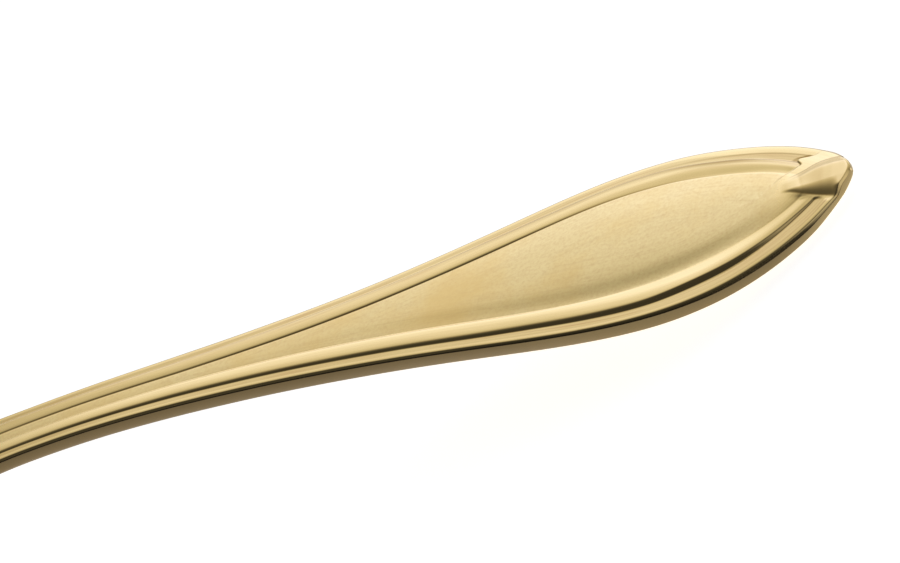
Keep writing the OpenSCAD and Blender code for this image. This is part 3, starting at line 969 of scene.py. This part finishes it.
def add_camera():
    """The camera, placed so that the handle's tip falls on its own pixel of the picture."""
    rise, turn, roll = VIEW_RISE, VIEW_TURN, VIEW_ROLL
    back = Vector((math.cos(rise) * math.sin(turn), -math.cos(rise) * math.cos(turn), math.sin(rise)))
    right = Vector((math.cos(turn), math.sin(turn), 0))
    up = back.cross(right)
    axes = (right * math.cos(roll) - up * math.sin(roll), right * math.sin(roll) + up * math.cos(roll), back)
    axes = [blade_to_world(a) for a in axes]
    look_x = (TIP_PIXEL[0] - PHOTO_W / 2) / LENS_PIXELS
    look_y = (PHOTO_H / 2 - TIP_PIXEL[1]) / LENS_PIXELS
    ray = axes[0] * look_x + axes[1] * look_y - axes[2]
    tip = Vector((TIP_X * MM, 0, TIP_H * MM))
    data = bpy.data.cameras.new("camera")
    data.sensor_width = SENSOR_WIDTH
    data.sensor_fit = "HORIZONTAL"
    data.lens = LENS_PIXELS / PHOTO_W * SENSOR_WIDTH
    data.clip_start = VIEW_NEAREST
    data.clip_end = VIEW_FARTHEST
    camera = bpy.data.objects.new("camera", data)
    bpy.context.scene.collection.objects.link(camera)
    turned = Matrix(axes).transposed().to_4x4()
    camera.matrix_world = Matrix.Translation(tip - ray * VIEW_DISTANCE) @ turned
    bpy.context.scene.camera = camera


add_camera()

# The white floor: its cloth, and the glow it shows to the camera and in the gold
CLOTH = (0.7, 0.7, 0.7, 1)
FLOOR_GLOW = 0.82

# The light tent: where it is brightest, and how its light falls off from there, as stops of a ramp
TENT_RADIUS = 3.0
TENT_SEGMENTS = 64
TENT_RINGS = 32
KEY_AIM = (-0.05, 0.905, 0.423)
KEY_GLOW = (
    (0.0, 0.05, 0.05, 0.05), (0.2, 0.06, 0.06, 0.055), (0.37, 0.09, 0.088, 0.08), (0.5, 0.13, 0.125, 0.108),
    (0.6, 0.21, 0.205, 0.175), (0.7, 0.35, 0.34, 0.30), (0.8, 0.54, 0.53, 0.48), (0.86, 0.68, 0.68, 0.64),
    (0.905, 0.88, 0.89, 0.96), (0.94, 1.08, 1.15, 1.40), (1.0, 1.27, 1.38, 1.95),
)
SIDE_AIM = (0.867, -0.151, 0.474)
SIDE_GLOW = ((0.70, 0, 0, 0), (0.80, 0.34, 0.34, 0.34), (0.90, 0.48, 0.48, 0.48), (0.95, 0.6, 0.6, 0.6))


def bare_material(name):
    """A new material with only its output, for a piece that is lit in its own way."""
    mat = bpy.data.materials.new(name)
    mat.use_nodes = True
    nodes, links = mat.node_tree.nodes, mat.node_tree.links
    nodes.remove(nodes["Principled BSDF"])
    return mat, nodes, links, nodes["Material Output"].inputs["Surface"]


def add_floor():
    """White cloth that also glows where the camera or a reflection sees it, and lights nothing else."""
    deselect_all()
    bpy.ops.mesh.primitive_plane_add(size=2 * TENT_RADIUS)
    floor = bpy.context.object
    floor.name = "floor"
    mat, nodes, links, surface = bare_material("floor")
    cloth = nodes.new("ShaderNodeBsdfDiffuse")
    cloth.inputs["Color"].default_value = CLOTH
    glow = nodes.new("ShaderNodeEmission")
    path = nodes.new("ShaderNodeLightPath")
    seen = math_node(nodes, links, "ADD", path.outputs["Is Camera Ray"], path.outputs["Is Glossy Ray"])
    seen = math_node(nodes, links, "ADD", seen, path.outputs["Is Transmission Ray"])
    links.new(math_node(nodes, links, "MULTIPLY", seen, FLOOR_GLOW), glow.inputs["Strength"])
    both = nodes.new("ShaderNodeAddShader")
    links.new(cloth.outputs[0], both.inputs[0])
    links.new(glow.outputs[0], both.inputs[1])
    links.new(both.outputs[0], surface)
    floor.data.materials.append(mat)


def glow_round(nodes, links, direction, aim, stops):
    """Light that follows how nearly a direction points along an aim."""
    nearness = nodes.new("ShaderNodeVectorMath")
    nearness.operation = "DOT_PRODUCT"
    nearness.inputs[1].default_value = aim
    links.new(direction, nearness.inputs[0])
    light = nodes.new("ShaderNodeValToRGB")
    elements = light.color_ramp.elements
    elements[0].position = stops[0][0]
    elements[1].position = stops[-1][0]
    for stop in stops[1:-1]:
        elements.new(stop[0])
    for element, stop in zip(elements, stops):
        element.color = (*stop[1:], 1)
    links.new(nearness.outputs["Value"], light.inputs["Fac"])
    return light.outputs["Color"]


def add_tent():
    """A round light tent, bright low on the far side and dark on the camera's side."""
    deselect_all()
    bpy.ops.mesh.primitive_uv_sphere_add(segments=TENT_SEGMENTS, ring_count=TENT_RINGS, radius=TENT_RADIUS)
    tent = bpy.context.object
    tent.name = "light_tent"
    tent.visible_camera = False
    mat, nodes, links, surface = bare_material("light_tent")
    place = nodes.new("ShaderNodeTexCoord")
    direction = nodes.new("ShaderNodeVectorMath")
    direction.operation = "NORMALIZE"
    links.new(place.outputs["Object"], direction.inputs[0])
    total = nodes.new("ShaderNodeMix")
    total.data_type = "RGBA"
    total.blend_type = "ADD"
    total.inputs[0].default_value = 1
    links.new(glow_round(nodes, links, direction.outputs[0], KEY_AIM, KEY_GLOW), total.inputs[6])
    links.new(glow_round(nodes, links, direction.outputs[0], SIDE_AIM, SIDE_GLOW), total.inputs[7])
    glow = nodes.new("ShaderNodeEmission")
    links.new(total.outputs[2], glow.inputs["Color"])
    links.new(glow.outputs[0], surface)
    tent.data.materials.append(mat)


def set_world():
    world = bpy.data.worlds.new("world")
    bpy.context.scene.world = world
    world.use_nodes = True
    world.node_tree.nodes["Background"].inputs["Color"].default_value = (1, 1, 1, 1)


add_floor()
add_tent()
set_world()
bpy.context.scene.view_settings.view_transform = "Standard"
